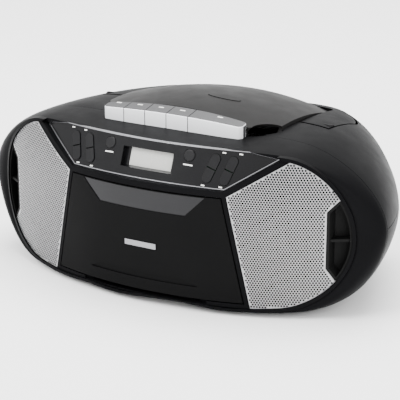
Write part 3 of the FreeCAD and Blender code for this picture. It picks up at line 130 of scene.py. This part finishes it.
finish = {
    "cabinet": mouldedPlastic("charcoal_cabinet", (0.0022, 0.0022, 0.0025), (0.0034, 0.0034, 0.0038), 0.34, 0.44, sheen=0.02),
    "lid": mouldedPlastic("charcoal_lid", (0.0070, 0.0068, 0.0068), (0.0095, 0.0092, 0.0092), 0.38, 0.48, sheen=0.06),
    "door": mouldedPlastic("charcoal_door", (0.0022, 0.0022, 0.0023), (0.0032, 0.0032, 0.0033), 0.42, 0.50, sheen=0.03),
    "panel": glossPlastic("panel_black", (0.002, 0.002, 0.0025), (0.003, 0.003, 0.0035), 0.16, 0.05),
    "window": glossPlastic("smoked_window", (0.003, 0.003, 0.004), (0.005, 0.005, 0.006), 0.10, 0.1),
    "button": glossPlastic("button_black", (0.002, 0.002, 0.0025), (0.004, 0.004, 0.0045), 0.30, 0.0),
    "innerBlack": mouldedPlastic("inner_black", (0.003, 0.003, 0.003), (0.005, 0.005, 0.005), 0.5, 0.65, sheen=0.06),
    "white": mouldedPlastic("white_plastic", (0.60, 0.60, 0.57), (0.72, 0.72, 0.70), 0.35, 0.5, sheen=0.5),
    "rubber": mouldedPlastic("black_rubber", (0.010, 0.010, 0.010), (0.018, 0.018, 0.018), 0.65, 0.85, 900.0, 0.0001),
    "cone": mouldedPlastic("paper_cone", (0.020, 0.019, 0.018), (0.035, 0.034, 0.032), 0.8, 0.95, 1200.0, 0.0002),
    "steel": streakedMetal("drawn_steel", (0.45, 0.45, 0.46), (0.62, 0.62, 0.63), 0.22, 0.36),
    "zinc": streakedMetal("plated_sheet", (0.38, 0.39, 0.41), (0.52, 0.53, 0.55), 0.3, 0.5, (60.0, 60.0, 60.0)),
    "chrome": streakedMetal("aerial_chrome", (0.72, 0.72, 0.73), (0.80, 0.80, 0.81), 0.06, 0.14),
    "brass": streakedMetal("turned_brass", (0.55, 0.40, 0.16), (0.68, 0.52, 0.24), 0.2, 0.34),
    "grille": streakedMetal("grille_silver", (0.30, 0.30, 0.305), (0.38, 0.38, 0.385), 0.40, 0.52, (300.0, 300.0, 300.0)),
}


# silver painted plastic for the keys and the thin outline of the panel
def silverPaint(name, dark, light, rough, metallic):
    mat, tree, shader, pos = newMaterial(name)
    flakes = noiseNode(tree, pos, 3800.0, 1.0)
    tree.links.new(rampNode(tree, flakes, dark, light), shader.inputs["Base Color"])
    tree.links.new(rangeNode(tree, noiseNode(tree, pos, 50.0, 4.0), rough, rough + 0.1), shader.inputs["Roughness"])
    bumpNode(tree, shader, flakes, 0.1, 0.00002)
    shader.inputs["Metallic"].default_value = metallic
    return mat


finish["keyFront"] = silverPaint("key_front_silver", (0.74, 0.75, 0.77), (0.80, 0.81, 0.83), 0.34, 0.15)
# darker copy of the key silver for the key tops and ends: painted shade where less light falls
finish["keyTop"] = silverPaint("key_top_painted_shade", (0.022, 0.022, 0.024), (0.034, 0.034, 0.036), 0.40, 0.1)
finish["trimSilver"] = silverPaint("trim_silver", (0.20, 0.20, 0.21), (0.25, 0.25, 0.26), 0.25, 0.85)


# liquid-crystal glass: pale, with a faint cell grid under a clear cover
def displayGlass(name):
    mat, tree, shader, pos = newMaterial(name)
    wave = tree.nodes.new("ShaderNodeTexWave")
    wave.inputs["Scale"].default_value = 260.0
    tree.links.new(pos, wave.inputs["Vector"])
    tree.links.new(rampNode(tree, wave.outputs["Fac"], (0.36, 0.36, 0.34), (0.39, 0.39, 0.37), 0.2, 0.8),
                   shader.inputs["Base Color"])
    tree.links.new(rangeNode(tree, noiseNode(tree, pos, 30.0), 0.24, 0.34), shader.inputs["Roughness"])
    bumpNode(tree, shader, noiseNode(tree, pos, 90.0), 0.04, 0.00005)
    shader.inputs["Coat Weight"].default_value = 0.3
    shader.inputs["Coat Roughness"].default_value = 0.1
    return mat


# green circuit board with darker traces
def circuitBoard(name):
    mat, tree, shader, pos = newMaterial(name)
    cells = tree.nodes.new("ShaderNodeTexBrick")
    cells.inputs["Scale"].default_value = 90.0
    cells.inputs["Color1"].default_value = (0.012, 0.10, 0.035, 1)
    cells.inputs["Color2"].default_value = (0.016, 0.13, 0.045, 1)
    cells.inputs["Mortar"].default_value = (0.03, 0.18, 0.07, 1)
    cells.inputs["Mortar Size"].default_value = 0.05
    tree.links.new(pos, cells.inputs["Vector"])
    tree.links.new(cells.outputs["Color"], shader.inputs["Base Color"])
    tree.links.new(rangeNode(tree, noiseNode(tree, pos, 70.0), 0.3, 0.5), shader.inputs["Roughness"])
    bumpNode(tree, shader, cells.outputs["Fac"], 0.2, 0.00005)
    return mat


finish["display"] = displayGlass("display_glass")
finish["board"] = circuitBoard("circuit_board")
print("materials made:", len(finish))

nodeFinish = {
    "front_cabinet": "cabinet", "top_cabinet": "cabinet", "bottom_cabinet": "cabinet", "side_ports": "innerBlack",
    "battery_door": "cabinet", "handle": "cabinet", "cd_lid": "lid", "cassette_door": "door",
    "door_window": "window", "cassette_holder": "innerBlack", "control_panel": "panel",
    "panel_trim": "trimSilver", "display_module": "display", "button_board": "board", "main_board": "board",
    "left_grille": "grille", "right_grille": "grille", "speaker_frames": "zinc", "speaker_cones": "cone",
    "cassette_chassis": "zinc", "cassette_motor": "zinc", "spindle_motor": "zinc", "head_bridge": "zinc",
    "transformer": "zinc", "flywheel": "brass", "motor_pulley": "white", "supply_reel": "white",
    "takeup_reel": "white", "cd_clamp": "white", "drive_belt": "rubber", "pinch_roller": "rubber",
    "feet": "rubber", "key_shaft": "steel", "hinge_pins": "steel", "screws": "steel", "sled_rods": "steel",
    "antenna_outer_rod": "chrome", "antenna_middle_rod": "chrome", "antenna_tip_rod": "chrome",
}
for name, obj in nodes.items():
    if name.endswith("_key"):
        chosen = "keyFront"
    elif name.endswith("_button") or name.startswith("round_button"):
        chosen = "button"
    else:
        chosen = nodeFinish.get(name, "innerBlack")
    obj.data.materials.clear()
    obj.data.materials.append(finish[chosen])
    # the keys have bright fronts, and their tops and ends take a darker copy of the silver paint: painted shade, not a
    # second finish
    if chosen == "keyFront":
        obj.data.materials.append(finish["keyTop"])
        for face in obj.data.polygons:
            face.material_index = 1 if face.normal.z > 0.8 or abs(face.normal.x) > 0.97 else 0
print("finishes given to the frame's nodes")


# a closed mesh that rides on a body
def addPiece(name, mesh, mat, body):
    mesh.materials.append(mat)
    obj = bpy.data.objects.new(name, mesh)
    bpy.context.scene.collection.objects.link(obj)
    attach(obj, body)
    return obj


def meshFrom(name, bm):
    bmesh.ops.recalc_face_normals(bm, faces=bm.faces)
    mesh = bpy.data.meshes.new(name)
    bm.to_mesh(mesh)
    bm.free()
    return mesh


# closed ring or disc turned round +Z from (radius, height) points
def turnedRings(bm, profile, count, place=None, closeLoop=False):
    place = place or Matrix.Identity(4)
    rings = []
    for radius, height in profile:
        corners = [(radius * math.cos(2 * math.pi * i / count), radius * math.sin(2 * math.pi * i / count), height)
                   for i in range(count)]
        rings.append([bm.verts.new(place @ Vector(corner)) for corner in corners])
    pairs = list(zip(rings, rings[1:]))
    if closeLoop:
        pairs.append((rings[-1], rings[0]))
    else:
        bm.faces.new(rings[0])
        bm.faces.new(rings[-1])
    for a, b in pairs:
        for i in range(count):
            bm.faces.new((a[i], a[(i + 1) % count], b[(i + 1) % count], b[i]))


# perforation of the speaker grilles: a dark disc as painted shade in each hole, with a rolled lip, repeated on a
# staggered lattice
perforation = {"pitch": 0.00235, "lip": 0.00108, "hole": 0.00096, "rise": 0.00006, "sink": 0.00003, "margin": 0.0012,
               "sides": 10, "reach": 0.3, "standOff": 0.02}


def holeLip():
    bm = bmesh.new()
    middle = (perforation["lip"] + perforation["hole"]) / 2
    profile = [(perforation["lip"], -perforation["sink"]), (middle, perforation["rise"]),
               (perforation["hole"], -perforation["sink"])]
    turnedRings(bm, profile, perforation["sides"], closeLoop=True)
    return bpy.data.objects.new("hole_lip", meshFrom("hole_lip", bm))


# thin dark disc filling a hole: painted shade, as the grille sheet itself has no opening
def holeShadeDisc():
    bm = bmesh.new()
    profile = [(perforation["hole"], -perforation["sink"]), (perforation["hole"], perforation["sink"])]
    turnedRings(bm, profile, perforation["sides"])
    return bpy.data.objects.new("hole_floor", meshFrom("hole_floor", bm))


def perforationTree():
    tree = bpy.data.node_groups.new("perforated_sheet", "GeometryNodeTree")
    iface = tree.interface
    iface.new_socket("Geometry", in_out="INPUT", socket_type="NodeSocketGeometry")
    iface.new_socket("Sheet", in_out="INPUT", socket_type="NodeSocketObject")
    iface.new_socket("Mouth", in_out="INPUT", socket_type="NodeSocketObject")
    iface.new_socket("Margin", in_out="INPUT", socket_type="NodeSocketFloat")
    iface.new_socket("Material", in_out="INPUT", socket_type="NodeSocketMaterial")
    iface.new_socket("Geometry", in_out="OUTPUT", socket_type="NodeSocketGeometry")
    make = tree.nodes.new
    join = tree.links.new
    source = make("NodeGroupInput")
    target = make("NodeGroupOutput")
    sheet = make("GeometryNodeObjectInfo")
    mouth = make("GeometryNodeObjectInfo")
    join(source.outputs["Sheet"], sheet.inputs["Object"])
    join(source.outputs["Mouth"], mouth.inputs["Object"])
    position = make("GeometryNodeInputPosition")

    # a ray from a lattice point, moved by a share of the margin, back to the sheet
    def castAt(dx, dz):
        shift = make("ShaderNodeVectorMath")
        shift.operation = "SCALE"
        shift.inputs[0].default_value = (dx, 0, dz)
        join(source.outputs["Margin"], shift.inputs["Scale"])
        add = make("ShaderNodeVectorMath")
        join(position.outputs[0], add.inputs[0])
        join(shift.outputs[0], add.inputs[1])
        cast = make("GeometryNodeRaycast")
        join(sheet.outputs["Geometry"], cast.inputs["Target Geometry"])
        join(add.outputs[0], cast.inputs["Source Position"])
        cast.inputs["Ray Direction"].default_value = (0, 1, 0)
        cast.inputs["Ray Length"].default_value = perforation["reach"]
        return cast

    def stored(geometry, kind, name, value):
        node = make("GeometryNodeStoreNamedAttribute")
        node.data_type = kind
        node.domain = "POINT"
        node.inputs["Name"].default_value = name
        join(geometry, node.inputs["Geometry"])
        join(value, node.inputs["Value"])
        return node.outputs["Geometry"]

    def read(kind, name):
        node = make("GeometryNodeInputNamedAttribute")
        node.data_type = kind
        node.inputs["Name"].default_value = name
        return node.outputs["Attribute"]

    # a hole is kept where the sheet goes on all round it
    middle = castAt(0, 0)
    keep = middle.outputs["Is Hit"]
    for turn in range(8):
        angle = turn * math.pi / 4
        both = make("FunctionNodeBooleanMath")
        both.operation = "AND"
        join(keep, both.inputs[0])
        join(castAt(math.cos(angle), math.sin(angle)).outputs["Is Hit"], both.inputs[1])
        keep = both.outputs[0]
    marked = stored(source.outputs["Geometry"], "BOOLEAN", "keep", keep)
    marked = stored(marked, "FLOAT_VECTOR", "out", middle.outputs["Hit Normal"])
    # the lattice moves onto the sheet, and the mouths stand where its points then are
    moved = make("GeometryNodeSetPosition")
    join(marked, moved.inputs["Geometry"])
    join(middle.outputs["Is Hit"], moved.inputs["Selection"])
    join(middle.outputs["Hit Position"], moved.inputs["Position"])
    face = make("FunctionNodeAlignRotationToVector")
    face.axis = "Z"
    join(read("FLOAT_VECTOR", "out"), face.inputs["Vector"])
    points = make("GeometryNodeInstanceOnPoints")
    join(moved.outputs["Geometry"], points.inputs["Points"])
    join(read("BOOLEAN", "keep"), points.inputs["Selection"])
    join(mouth.outputs["Geometry"], points.inputs["Instance"])
    join(face.outputs["Rotation"], points.inputs["Rotation"])
    real = make("GeometryNodeRealizeInstances")
    join(points.outputs["Instances"], real.inputs["Geometry"])
    paint = make("GeometryNodeSetMaterial")
    join(real.outputs["Geometry"], paint.inputs["Geometry"])
    join(source.outputs["Material"], paint.inputs["Material"])
    join(paint.outputs["Geometry"], target.inputs["Geometry"])
    return tree


# staggered points in front of a grille
def latticeMesh(low, high):
    pitch = perforation["pitch"]
    rowStep = pitch * math.sqrt(3) / 2
    bm = bmesh.new()
    for row in range(int((high.z - low.z) / rowStep) + 1):
        for column in range(int((high.x - low.x) / pitch) + 1):
            x = low.x + (column + 0.5 * (row % 2)) * pitch
            bm.verts.new((x, low.y - perforation["standOff"], low.z + row * rowStep))
    return meshFrom("lattice", bm)


def perforate(side, tree, mouth, mat, part):
    node = side + "_grille"
    lattice = bpy.data.objects.new("lattice_" + side, latticeMesh(*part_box(node)))
    bpy.context.scene.collection.objects.link(lattice)
    modifier = lattice.modifiers.new("perforate", "NODES")
    modifier.node_group = tree
    ids = {item.name: item.identifier for item in tree.interface.items_tree if item.in_out == "INPUT"}
    modifier[ids["Sheet"]] = nodes[node]
    modifier[ids["Mouth"]] = mouth
    modifier[ids["Margin"]] = perforation["margin"]
    modifier[ids["Material"]] = mat
    bpy.context.view_layer.update()
    graph = bpy.context.evaluated_depsgraph_get()
    baked = bpy.data.meshes.new_from_object(lattice.evaluated_get(graph))
    bpy.data.objects.remove(lattice)
    obj = bpy.data.objects.new(side + "_" + part, baked)
    bpy.context.scene.collection.objects.link(obj)
    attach(obj, "cabinet")
    print(obj.name, "faces:", len(baked.polygons))


sheetTree = perforationTree()
# the hole discs carry the inner black as painted shade in the holes
for part, mouth, mat in (("hole_lips", holeLip(), finish["grille"]), ("hole_floors", holeShadeDisc(), finish["innerBlack"])):
    for side in ("left", "right"):
        perforate(side, sheetTree, mouth, mat, part)
    bpy.data.objects.remove(mouth)


# where a line from the front meets a node, as a placement with +Z out of the surface and +X along it
def onFront(node, x, z):
    hit, place, normal, _ = nodes[node].ray_cast(Vector((x, -0.4, z)), Vector((0, 1, 0)))
    if not hit:
        raise RuntimeError(node + " has no face at " + str((x, z)))
    along = (Vector((1, 0, 0)) - normal * normal.x).normalized()
    across = normal.cross(along)
    turn = Matrix((along, across, normal)).transposed().to_4x4()
    return Matrix.Translation(place) @ turn


def plateMesh(bm, place, width, height, low, high):
    corners = [(x * width / 2, y * height / 2) for x, y in ((-1, -1), (1, -1), (1, 1), (-1, 1))]
    below, above = [[bm.verts.new(place @ Vector((x, y, level))) for x, y in corners] for level in (low, high)]
    bm.faces.new(below[::-1])
    bm.faces.new(above)
    for i in range(4):
        bm.faces.new((below[i], below[(i + 1) % 4], above[(i + 1) % 4], above[i]))


# plain printed marks on the panel, one beside each control
mark = {"roundX": 0.0405, "roundZ": 0.1322, "slotX": (0.0575, 0.0735), "topX": (0.0715, 0.0865), "topZ": 0.1453,
        "lowZ": 0.1172, "wide": 0.0088, "short": 0.0032, "high": 0.0011, "rise": 0.00006, "sink": 0.0002}


def panelMarks():
    bm = bmesh.new()
    spots = [(side * mark["roundX"], mark["roundZ"], mark["wide"]) for side in (-1, 1)]
    spots += [(side * x, mark["lowZ"], mark["short"]) for side in (-1, 1) for x in mark["slotX"]]
    spots += [(side * x, mark["topZ"], mark["short"]) for side in (-1, 1) for x in mark["topX"]]
    for x, z, width in spots:
        plateMesh(bm, onFront("control_panel", x, z), width, mark["high"], -mark["sink"], mark["rise"])
    addPiece("panel_marks", meshFrom("panel_marks", bm), finish["white"], "cabinet")


# raised dark collar round each round button
collar = {"x": 0.0405, "z": 0.1400, "inner": 0.0056, "outer": 0.0066, "rise": 0.0006, "sink": 0.0003, "sides": 40}


def buttonCollars():
    bm = bmesh.new()
    middle = (collar["inner"] + collar["outer"]) / 2
    profile = [(collar["outer"], -collar["sink"]), (middle, collar["rise"]), (collar["inner"], -collar["sink"])]
    for side in (-1, 1):
        place = onFront("control_panel", side * (collar["x"] + collar["outer"] + 0.001), collar["z"])
        place.translation.x -= side * (collar["outer"] + 0.001)
        turnedRings(bm, profile, collar["sides"], place, closeLoop=True)
    addPiece("button_collars", meshFrom("button_collars", bm), finish["innerBlack"], "cabinet")


# plain bar on the door, in place of lettering
badge = {"x": 0.0, "z": 0.0560, "width": 0.032, "height": 0.0050, "rise": 0.0003, "sink": 0.0006}


def doorBadge():
    bm = bmesh.new()
    plateMesh(bm, onFront("cassette_door", badge["x"], badge["z"]), badge["width"], badge["height"],
              -badge["sink"], badge["rise"])
    addPiece("door_badge", meshFrom("door_badge", bm), finish["trimSilver"], "cassette_door_body")


# short bar on each key, where its sign would be
keySign = {"width": 0.0052, "height": 0.0015, "rise": 0.00006, "sink": 0.0003, "above": 0.3}


def keySigns():
    for key in ("pause_key", "stop_key", "wind_key", "rewind_key", "play_key"):
        low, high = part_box(key)
        spot = Vector(((low.x + high.x) / 2, low.y + 0.011, keySign["above"]))
        hit, place, normal, _ = nodes[key].ray_cast(spot, Vector((0, 0, -1)))
        along = (Vector((1, 0, 0)) - normal * normal.x).normalized()
        turn = Matrix((along, normal.cross(along), normal)).transposed().to_4x4()
        bm = bmesh.new()
        plateMesh(bm, Matrix.Translation(place) @ turn, keySign["width"], keySign["height"],
                  -keySign["sink"], keySign["rise"])
        addPiece(key + "_sign", meshFrom(key + "_sign", bm), finish["white"], key + "_body")


panelMarks()
buttonCollars()
doorBadge()
keySigns()
print("marks, collars and badge added")

# floor, light and camera
floorMat, floorTree, floorShader, floorPos = newMaterial("pale_floor")
floorTree.links.new(rampNode(floorTree, noiseNode(floorTree, floorPos, 2.0), (0.86, 0.86, 0.86), (0.88, 0.88, 0.88)),
                    floorShader.inputs["Base Color"])
floorShader.inputs["Roughness"].default_value = 0.9
bm = bmesh.new()
bmesh.ops.create_grid(bm, x_segments=1, y_segments=1, size=6.0)
floorMesh = bpy.data.meshes.new("floor")
bm.to_mesh(floorMesh)
bm.free()
floorMesh.materials.append(floorMat)
floor = bpy.data.objects.new("floor", floorMesh)
bpy.context.scene.collection.objects.link(floor)

studio = {
    "key": {"place": (-1.2, -1.6, 1.9), "size": 1.3, "power": 95.0},
    "fill": {"place": (1.7, -1.3, 1.2), "size": 1.4, "power": 30.0},
    "top": {"place": (0.0, 0.5, 2.0), "size": 1.6, "power": 95.0},
}
for name, light in studio.items():
    lamp = bpy.data.lights.new(name, "AREA")
    lamp.size = light["size"]
    lamp.energy = light["power"]
    lampObj = bpy.data.objects.new(name, lamp)
    place = Vector(light["place"])
    lampObj.location = place
    lampObj.rotation_euler = (Vector((0, 0, 0.07)) - place).to_track_quat("-Z", "Y").to_euler()
    bpy.context.scene.collection.objects.link(lampObj)
world = bpy.data.worlds.new("studio")
bpy.context.scene.world = world
world.use_nodes = True
world.node_tree.nodes["Background"].inputs["Color"].default_value = (1, 1, 1, 1)
world.node_tree.nodes["Background"].inputs["Strength"].default_value = 2.0

viewpoint = {"place": (0.69784, -1.26482, 0.56110), "target": (-0.00896, 0.0040, 0.05788), "lens": 144.0}
cameraData = bpy.data.cameras.new("camera")
cameraData.lens = viewpoint["lens"]
camera = bpy.data.objects.new("camera", cameraData)
place = Vector(viewpoint["place"])
camera.location = place
camera.rotation_euler = (Vector(viewpoint["target"]) - place).to_track_quat("-Z", "Y").to_euler()
bpy.context.scene.collection.objects.link(camera)
bpy.context.scene.camera = camera
print("stage, light and camera placed")
